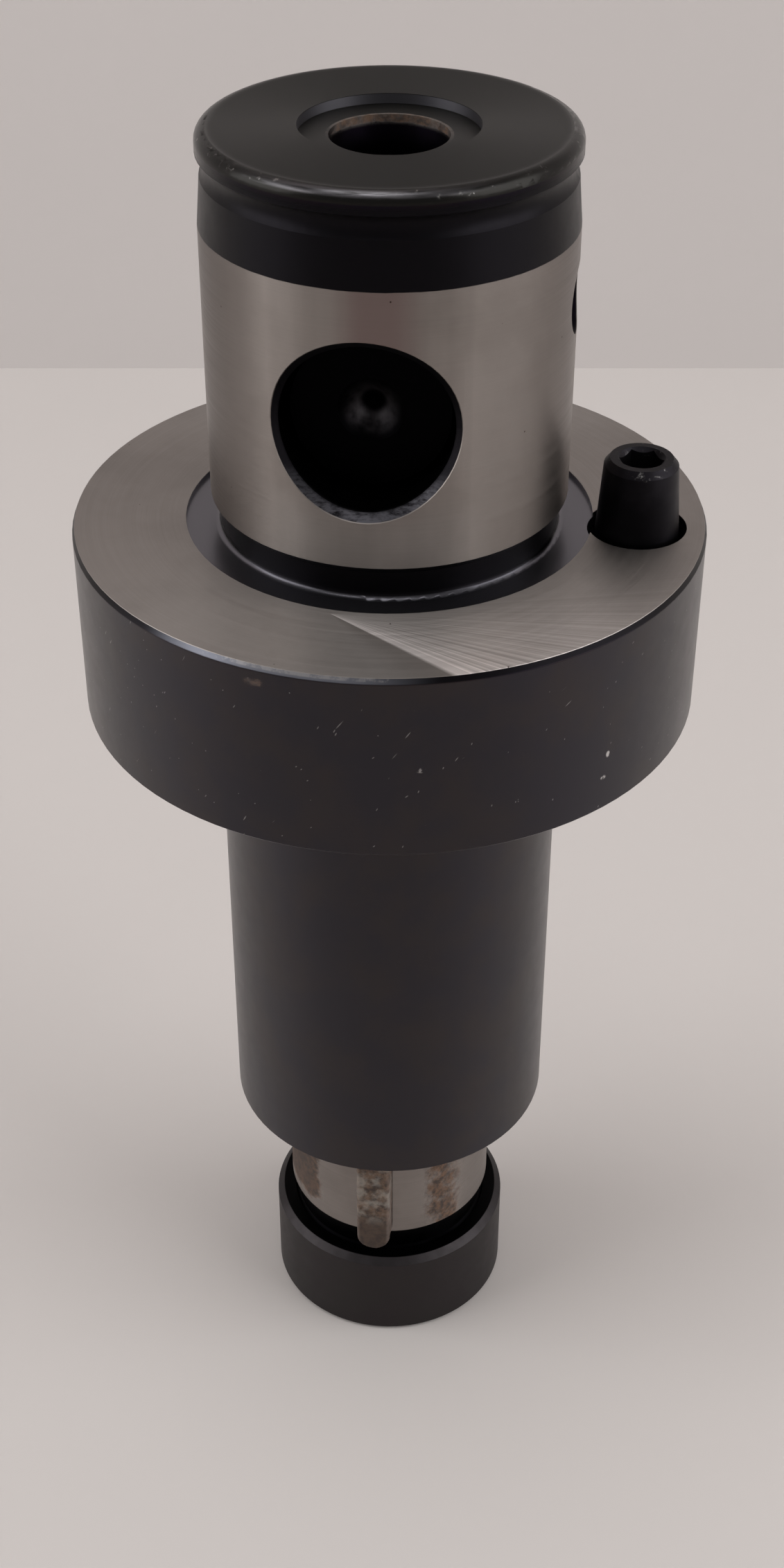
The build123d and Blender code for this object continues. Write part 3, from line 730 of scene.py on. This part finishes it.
def make_body_material(finish):
    """The holder body: black all over, ground bright on its pilot and flange face."""
    material, tree, shader, place = start_material("holder_body_steel")
    position, height = place["Position"], place["Height"]
    wall, face = mark_ground(tree, place)
    ground = either(tree, wall, face)
    rim = mark_rim(tree, place)
    ground_colour, ground_rough, lines = colour_ground(tree, place, finish, wall, face)
    black_colour, black_rough, grain = colour_black(tree, place, finish, rim)
    bare_and_highlight = mark_bare(tree, place, rim)
    pits = both(tree, ground, specks(tree, position, scale=0.55, size=0.05, amount=0.35))

    mouth = both(tree, rise(tree, split(tree, position)[1], 0.3, 2.2),
                 between(tree, place["Radius"], axial_radius - 0.3, axial_radius + 0.22, 0.05),
                 between(tree, height, top_height - 1.45, top_height - 0.7, 0.2))
    worn_mouth = edge_wear(tree, position, mouth, 0.6)
    spot = fall(tree, distance_from(tree, position, RUST_SPOT, (1.0, 1.0, 2.0)), 0.9, 0.9)
    spread = either(tree, weaker(tree, mouth, 0.62), weaker(tree, spot, 0.64))
    rust = rusted(tree, position, spread, finish.rust, finish.rust_dark)

    colour = mix_colour(tree, ground, black_colour, ground_colour)
    colour = lay(tree, colour, bare_and_highlight, finish.bare_and_highlight)
    colour = lay(tree, colour, pits, finish.rust_dark)
    colour = lay(tree, colour, worn_mouth, finish.ground, share=0.6)
    colour = mix_colour(tree, rust["Mask"], colour, rust["Color"])
    rough = mix_value(tree, ground, black_rough, ground_rough)
    rough = mix_value(tree, rust["Mask"], rough, RUST_ROUGHNESS)
    oiled = weaker(tree, fall(tree, height, face_height - 0.5, 0.1), OIL_AMOUNT)
    connect(tree, shader, Base_Color=colour, Roughness=rough, Coat_Weight=oiled,
            Metallic=inverse(tree, rust["Mask"]))
    shader.inputs["Coat Roughness"].default_value = OIL_ROUGHNESS
    turned_sheen(tree, shader, BODY_SHEEN)
    add_bump(tree, shader, mix_value(tree, ground, grain, lines), BODY_RELIEF)
    return material


def make_oxide_material(name, finish, black, brown, roughness, edge=None, wear=0.0):
    """A blackened turned piece; where an edge is given as two heights, it is worn between them."""
    material, tree, shader, place = start_material(name)
    position = place["Position"]
    oxide = black_oxide(tree, position, black, brown, roughness)
    colour = oxide["Color"]
    if edge:
        worn = edge_wear(tree, position, between(tree, place["Height"], *edge, 0.1), wear)
        colour = lay(tree, colour, worn, finish.bare_and_highlight)
    connect_metal(tree, shader, colour, oxide["Roughness"], oxide["Height"], OXIDE_RELIEF)
    return material


def make_ring_material(finish):
    """The nose ring: satin black with a darker bevel round its mouth, which is painted near-black
    as shadow.
    """
    material, tree, shader, place = start_material("nose_ring_black")
    position, radius, height = place["Position"], place["Radius"], place["Height"]
    oxide = black_oxide(tree, position, finish.ring, finish.ring_brown, 0.5)
    # Painted shadow in the ring's mouth and inside it
    mouth = both(tree, fall(tree, radius, ring_high.x - 0.62, 0.08),
                 rise(tree, height, ring_high.z - 0.3, 0.1))
    inside = fall(tree, radius, ring_high.x - 1.4, 0.1)
    bevel = rise(tree, height, ring_high.z - 0.66, 0.08)
    # Wear rubbed on the ring's bevel, broken up
    wear_and_glow = both(tree, bevel, rise(tree, noise(tree, position, 0.9, detail=4.0), 0.45, 0.2))
    colour = lay(tree, oxide["Color"], bevel, finish.bevel_black)
    colour = lay(tree, colour, wear_and_glow, finish.wear_and_glow, share=0.12)
    colour = lay(tree, colour, either(tree, mouth, inside), finish.shadow_black)
    connect_metal(tree, shader, colour, oxide["Roughness"], oxide["Height"], OXIDE_RELIEF)
    return material


def make_spindle_material(finish):
    """Ground shaft with brown rust in patches either side of the key, and its neck painted black as
    shadow.
    """
    material, tree, shader, place = start_material("spindle_steel")
    position, height, turn = place["Position"], place["Height"], place["Turn"]
    lines = machining_lines(tree, position, TURNED_LINES)
    steel = ground_steel(tree, position, lines, finish, finish.ground_roughness)
    left = both(tree, sector(tree, turn, LEFT_RUST),
                rise(tree, height, shoulder_height + 1.5, 1.5))
    marks = either(tree, left, weaker(tree, sector(tree, turn, RIGHT_RUST), 0.52))
    marks = both(tree, marks, fall(tree, height, shoulder_height + 12.5, 2.5))
    rust = rusted(tree, position, calc(tree, "ADD", marks, 0.14), finish.rust, finish.rust_dark)
    # Painted shadow on the spindle's neck, in the gap above the ring
    neck = fall(tree, height, shoulder_height + 0.15, 0.18)
    brown = lay(tree, rust["Color"], left, finish.rust_dark, share=0.62)
    colour = mix_colour(tree, rust["Mask"], steel["Color"], brown)
    colour = lay(tree, colour, neck, finish.shadow_black)
    rough = mix_value(tree, rust["Mask"], steel["Roughness"], RUST_ROUGHNESS)
    metal = either(tree, inverse(tree, rust["Mask"]), neck)
    connect(tree, shader, Base_Color=colour, Roughness=rough, Metallic=metal)
    turned_sheen(tree, shader, TURNED_SHEEN)
    relief = mix_value(tree, rust["Mask"], lines, rust["Height"])
    add_bump(tree, shader, relief, SPINDLE_RELIEF)
    return material


def make_key_material(finish):
    """The feather key: rusted over, darker at its low end, with pale patches and worn flanks."""
    material, tree, shader, place = start_material("key_rusted_steel")
    position, height = place["Position"], place["Height"]
    rust = rusted(tree, position, 0.88, finish.key_rust, finish.rust_dark)
    low = fall(tree, height, shoulder_height + 4.2, 1.6)
    pale = rise(tree, noise(tree, position, 0.75, detail=4.0, roughness=0.6), 0.55, 0.12)
    pale = both(tree, pale, rise(tree, height, shoulder_height + 4.0, 1.2))
    flank = calc(tree, "ABSOLUTE", split(tree, position)[0])
    flank = both(tree, rise(tree, flank, key_high.x - 0.32, 0.12),
                 rise(tree, noise(tree, position, 1.6, detail=4.0), 0.42, 0.15))
    colour = mix_colour(tree, rust["Mask"], opaque(finish.stain_and_shade), rust["Color"])
    colour = lay(tree, colour, low, finish.rust_dark, share=0.72)
    colour = lay(tree, colour, pale, finish.key_pale, share=0.5)
    colour = lay(tree, colour, flank, finish.key_edge, share=0.25)
    rough = mix_value(tree, rust["Mask"], 0.45, 0.8)
    connect(tree, shader, Base_Color=colour, Roughness=rough,
            Metallic=inverse(tree, rust["Mask"]))
    add_bump(tree, shader, rust["Height"], KEY_RELIEF)
    return material


def make_bright_material(name, finish, roughness):
    """Plain turned or ground steel with lines round the axis."""
    material, tree, shader, place = start_material(name)
    lines = machining_lines(tree, place["Position"], TURNED_LINES)
    steel = ground_steel(tree, place["Position"], lines, finish, roughness)
    connect_metal(tree, shader, steel["Color"], steel["Roughness"], lines, TURNED_RELIEF)
    turned_sheen(tree, shader, TURNED_SHEEN)
    return material


def make_thrust_material(finish):
    """The thrust pin: painted near-black as shade in its bore, with a painted glow in its cone
    recess.
    """
    material, tree, shader, place = start_material("thrust_pin_steel")
    position = place["Position"]
    # Painted shade: the pin sits deep inside the cross bore
    oxide = black_oxide(tree, position, finish.shadow_black, finish.shadow_black, 0.5)
    depth = split(tree, position)[1]
    cone = both(tree, between(tree, depth, thrust_low.y + 0.1, thrust_low.y + 1.5, 0.3),
                fall(tree, distance_from_cross_bore(tree, position), 1.5, 0.9))
    # Painted glow in the cone recess, in place of light falling into the bore
    glow = both(tree, cone, rise(tree, noise(tree, position, 0.9), 0.42, 0.25))
    colour = lay(tree, oxide["Color"], glow, finish.wear_and_glow)
    connect_metal(tree, shader, colour, oxide["Roughness"], oxide["Height"], THRUST_RELIEF)
    return material


def paint(node_name, material):
    """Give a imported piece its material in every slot."""
    piece = frame["nodes"][node_name]
    for slot in piece.material_slots:
        slot.material = material


def clear_choice():
    if bpy.context.mode != "OBJECT":
        bpy.ops.object.mode_set(mode="OBJECT")
    bpy.ops.object.select_all(action="DESELECT")


def choose(piece):
    """Make a piece the only one that the next operators work on."""
    clear_choice()
    piece.select_set(True)
    bpy.context.view_layer.objects.active = piece


def place_in_mesh(piece):
    """Put a piece's place, turn and size into its mesh."""
    choose(piece)
    bpy.ops.object.transform_apply(location=True, rotation=True, scale=True)


def select_edges(piece, wanted):
    """In edit mode, select the edges whose two ends pass a test."""
    bpy.ops.mesh.select_mode(type="EDGE")
    bpy.ops.mesh.select_all(action="DESELECT")
    bpy.ops.object.mode_set(mode="OBJECT")
    points = piece.data.vertices
    for edge in piece.data.edges:
        edge.select = wanted(points[edge.vertices[0]].co, points[edge.vertices[1]].co)
    bpy.ops.object.mode_set(mode="EDIT")


def add_modifier(piece, kind, **settings):
    modifier = piece.modifiers.new(kind.lower(), kind)
    for name, value in settings.items():
        setattr(modifier, name, value)


def apply_modifiers(piece):
    choose(piece)
    for modifier in list(piece.modifiers):
        bpy.ops.object.modifier_apply(modifier=modifier.name)


class HOLDER_OT_finishes(Operator):
    """Build the finishes that the pieces share"""

    bl_idname = "holder.finishes"
    bl_label = "Shared Finishes"

    def execute(self, context):
        for make_group in GROUPS:
            make_group()
        return {"FINISHED"}


class HOLDER_OT_body(Operator):
    """Finish the holder body: black oxide, ground pilot and ground flange face"""

    bl_idname = "holder.body"
    bl_label = "Holder Body"

    def execute(self, context):
        paint("holder_body", make_body_material(context.scene.holder_finish))
        return {"FINISHED"}


class HOLDER_OT_pins(Operator):
    """Finish the drive pin, the thrust pin and the retaining screw"""

    bl_idname = "holder.pins"
    bl_label = "Pins"

    def execute(self, context):
        finish = context.scene.holder_finish
        black = make_oxide_material(
            "drive_pin_black", finish, finish.pin_black, finish.deep_black, 0.5,
            edge=(pin_high.z - 0.6, pin_high.z), wear=0.3,
        )
        paint("drive_pin", black)
        paint("retaining_screw", black)
        paint("thrust_pin", make_thrust_material(finish))
        return {"FINISHED"}


class HOLDER_OT_spindle(Operator):
    """Finish the floating spindle with its ground shaft and rust patches"""

    bl_idname = "holder.spindle"
    bl_label = "Floating Spindle"

    def execute(self, context):
        paint("floating_spindle", make_spindle_material(context.scene.holder_finish))
        return {"FINISHED"}


class HOLDER_OT_key(Operator):
    """Model the feather key with its round ends, bevelled face and rust pits"""

    bl_idname = "holder.key"
    bl_label = "Feather Key"

    def execute(self, context):
        low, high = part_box("feather_key")
        size, centre = high - low, (low + high) / 2
        clear_choice()
        bpy.ops.mesh.primitive_cube_add(size=1, location=centre, scale=size)
        key = context.object
        key.name = "feather_key_pitted"
        place_in_mesh(key)
        bpy.ops.object.mode_set(mode="EDIT")
        # The ends are rounded by bevels a hair short of half the width, so that they don't meet
        select_edges(key, lambda a, b: abs(a.y - b.y) > size.y / 2)
        bpy.ops.mesh.bevel(offset=size.x / 2 * 0.999, segments=10, affect="EDGES")
        front = low.y + 0.01 * MM
        select_edges(key, lambda a, b: a.y < front and b.y < front)
        bpy.ops.mesh.bevel(offset=KEY_BEVEL, segments=2, affect="EDGES")
        bpy.ops.object.mode_set(mode="OBJECT")
        pits = bpy.data.textures.new("key_pits", "CLOUDS")
        pits.noise_scale = PIT_SPACING
        pits.noise_depth = 4
        add_modifier(key, "REMESH", mode="VOXEL", voxel_size=KEY_VOXEL)
        add_modifier(key, "DISPLACE", texture=pits, strength=PIT_DEPTH, mid_level=1.0,
                     texture_coords="LOCAL")
        apply_modifiers(key)
        bpy.ops.object.shade_smooth()
        key.data.materials.append(make_key_material(context.scene.holder_finish))
        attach(key, "spindle")
        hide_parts("feather_key")
        return {"FINISHED"}


class HOLDER_OT_nose(Operator):
    """Finish the nose ring and the collet in it"""

    bl_idname = "holder.nose"
    bl_label = "Nose Ring and Collet"

    def execute(self, context):
        finish = context.scene.holder_finish
        paint("collet_nut", make_ring_material(finish))
        paint("collet", make_bright_material("collet_steel", finish, 0.28))
        return {"FINISHED"}


class HOLDER_OT_inner(Operator):
    """Finish the pieces inside the barrel"""

    bl_idname = "holder.inner"
    bl_label = "Inner Pieces"

    def execute(self, context):
        finish = context.scene.holder_finish
        black = make_oxide_material(
            "fastener_black", finish, finish.oxide, finish.oxide_brown, 0.45
        )
        bright = make_bright_material("turned_steel", finish, 0.32)
        for name in ("tie_bolt", "stop_screw", "circlip"):
            paint(name, black)
        for name in ("spring_washer", "stop_ring"):
            paint(name, bright)
        return {"FINISHED"}


def wind_spring(node_name, turns):
    """Wind a spring of square wire in a packed spring's place, its ends cut flat."""
    low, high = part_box(node_name)
    pitch = (high.z - low.z) / turns
    wound = turns + 2 * SPRING_WIRE / pitch
    middle = high.x - SPRING_WIRE / 2
    clear_choice()
    bpy.ops.mesh.primitive_plane_add(
        size=SPRING_WIRE, location=(middle, 0, low.z - SPRING_WIRE), rotation=(radians(90), 0, 0)
    )
    spring = bpy.context.object
    spring.name = node_name + "_coil"
    place_in_mesh(spring)
    bpy.ops.object.mode_set(mode="EDIT")
    bpy.ops.mesh.select_all(action="SELECT")
    bpy.ops.mesh.delete(type="ONLY_FACE")
    bpy.ops.object.mode_set(mode="OBJECT")
    steps = round(wound * SPRING_STEPS)
    add_modifier(spring, "SCREW", axis="Z", angle=wound * 2 * pi, screw_offset=wound * pitch,
                 steps=steps, render_steps=steps, use_merge_vertices=False)
    apply_modifiers(spring)
    bpy.ops.object.mode_set(mode="EDIT")
    for height, side in ((low.z, "clear_inner"), (high.z, "clear_outer")):
        bpy.ops.mesh.select_all(action="SELECT")
        bpy.ops.mesh.bisect(plane_co=(0, 0, height), plane_no=(0, 0, 1), use_fill=True,
                            threshold=CUT_REACH, **{side: True})
    bpy.ops.mesh.select_all(action="SELECT")
    bpy.ops.mesh.normals_make_consistent(inside=False)
    bpy.ops.object.mode_set(mode="OBJECT")
    return spring, low.z, high.z


class HOLDER_OT_springs(Operator):
    """Wind the two springs, each between the holder's body and the spindle"""

    bl_idname = "holder.springs"
    bl_label = "Springs"

    def execute(self, context):
        steel = make_bright_material("spring_steel", context.scene.holder_finish, 0.32)
        for node_name, turns, low_is_fixed in SPRINGS:
            spring, low, high = wind_spring(node_name, turns)
            spring.data.materials.append(steel)
            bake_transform(spring)
            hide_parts(node_name)
        return {"FINISHED"}


def see_through_from_behind(tree, shader):
    """Let a view from behind the backdrop pass through it."""
    behind = add_node(tree, "NewGeometry").outputs["Backfacing"]
    clear = tree.nodes.new("ShaderNodeBsdfTransparent").outputs[0]
    mixed = add_node(tree, "MixShader", {0: behind, 1: shader.outputs[0], 2: clear})
    output = next(item for item in tree.nodes if item.type == "OUTPUT_MATERIAL")
    tree.links.new(mixed.outputs[0], output.inputs[0])


def plain_material(name, colour, roughness, one_sided=False):
    """A matte paint with a very faint mottle."""
    material, tree, shader, place = start_material(name)
    if one_sided:
        see_through_from_behind(tree, shader)
    mottle = noise(tree, place["Position"], 0.02)
    darker = tuple(part * 0.97 for part in colour)
    connect(tree, shader, Base_Color=mix_colour(tree, mottle, opaque(colour), opaque(darker)))
    shader.inputs["Roughness"].default_value = roughness
    return material


def add_lamp(name, place, size, power):
    """Add a square softbox that points at the holder."""
    bpy.ops.object.light_add(type="AREA", location=place)
    lamp = bpy.context.object
    lamp.name = name
    lamp.data.shape = "SQUARE"
    lamp.data.size = size
    lamp.data.energy = power
    aim = Vector(LAMP_TARGET) - Vector(place)
    lamp.rotation_euler = aim.to_track_quat("-Z", "Y").to_euler()


class HOLDER_OT_stage(Operator):
    """Set the floor, backdrop, lights and camera"""

    bl_idname = "holder.stage"
    bl_label = "Stage"

    def execute(self, context):
        stage = context.scene.holder_stage
        turned = Matrix.Rotation(CAMERA_TURN, 4, "Z")
        clear_choice()
        bpy.ops.mesh.primitive_plane_add(size=FLOOR_SIZE)
        floor = context.object
        floor.name = "floor"
        floor.data.materials.append(plain_material("floor_paint", stage.floor, 0.6))
        behind = turned @ Vector((0, stage.backdrop_distance, WALL_HEIGHT / 2))
        bpy.ops.mesh.primitive_plane_add(
            size=WALL_HEIGHT, location=behind, rotation=(radians(90), 0, CAMERA_TURN)
        )
        wall = context.object
        wall.name = "backdrop"
        wall.scale = (2.0, 1.0, 1.0)
        wall.data.materials.append(plain_material("backdrop_paint", stage.backdrop, 0.7, True))
        for name, place, size, power in LAMPS:
            add_lamp(name, place, size, getattr(stage, power))

        world = bpy.data.worlds.new("studio")
        world.use_nodes = True
        background = world.node_tree.nodes["Background"]
        background.inputs["Color"].default_value = SKY_COLOUR
        background.inputs["Strength"].default_value = stage.sky
        context.scene.world = world

        bpy.ops.object.camera_add(location=CAMERA_PLACE, rotation=(CAMERA_TILT, 0, CAMERA_TURN))
        camera = context.object
        camera.name = "camera"
        camera.data.sensor_fit = "VERTICAL"
        camera.data.sensor_height = 36.0
        camera.data.lens = stage.lens
        camera.data.shift_x = CAMERA_SHIFT
        camera.data.clip_start = 0.005
        context.scene.camera = camera
        context.scene.view_settings.view_transform = "Standard"
        return {"FINISHED"}


class HOLDER_PT_panel(Panel):
    """Lists the holder's pieces in the sidebar"""

    bl_label = "Collet Chuck Holder"
    bl_idname = "HOLDER_PT_panel"
    bl_space_type = "VIEW_3D"
    bl_region_type = "UI"
    bl_category = "Holder"

    def draw(self, context):
        for operator in STEPS:
            self.layout.operator(operator.bl_idname)
        for group in (context.scene.holder_finish, context.scene.holder_stage):
            for name in group.bl_rna.properties.keys():
                if name not in ("name", "rna_type"):
                    self.layout.prop(group, name)


STEPS = (
    HOLDER_OT_finishes,
    HOLDER_OT_body,
    HOLDER_OT_pins,
    HOLDER_OT_spindle,
    HOLDER_OT_key,
    HOLDER_OT_nose,
    HOLDER_OT_inner,
    HOLDER_OT_springs,
    HOLDER_OT_stage,
)
CLASSES = (HolderFinish, HolderStage, *STEPS, HOLDER_PT_panel)


def register():
    for item in CLASSES:
        bpy.utils.register_class(item)
    bpy.types.Scene.holder_finish = PointerProperty(type=HolderFinish)
    bpy.types.Scene.holder_stage = PointerProperty(type=HolderStage)


def unregister():
    del bpy.types.Scene.holder_stage
    del bpy.types.Scene.holder_finish
    for item in reversed(CLASSES):
        bpy.utils.unregister_class(item)


def main():
    register()
    bpy.ops.holder.finishes()
    bpy.ops.holder.body()
    bpy.ops.holder.pins()
    bpy.ops.holder.spindle()
    bpy.ops.holder.key()
    bpy.ops.holder.nose()
    bpy.ops.holder.inner()
    bpy.ops.holder.springs()
    bpy.ops.holder.stage()


if __name__ == "__main__":
    main()
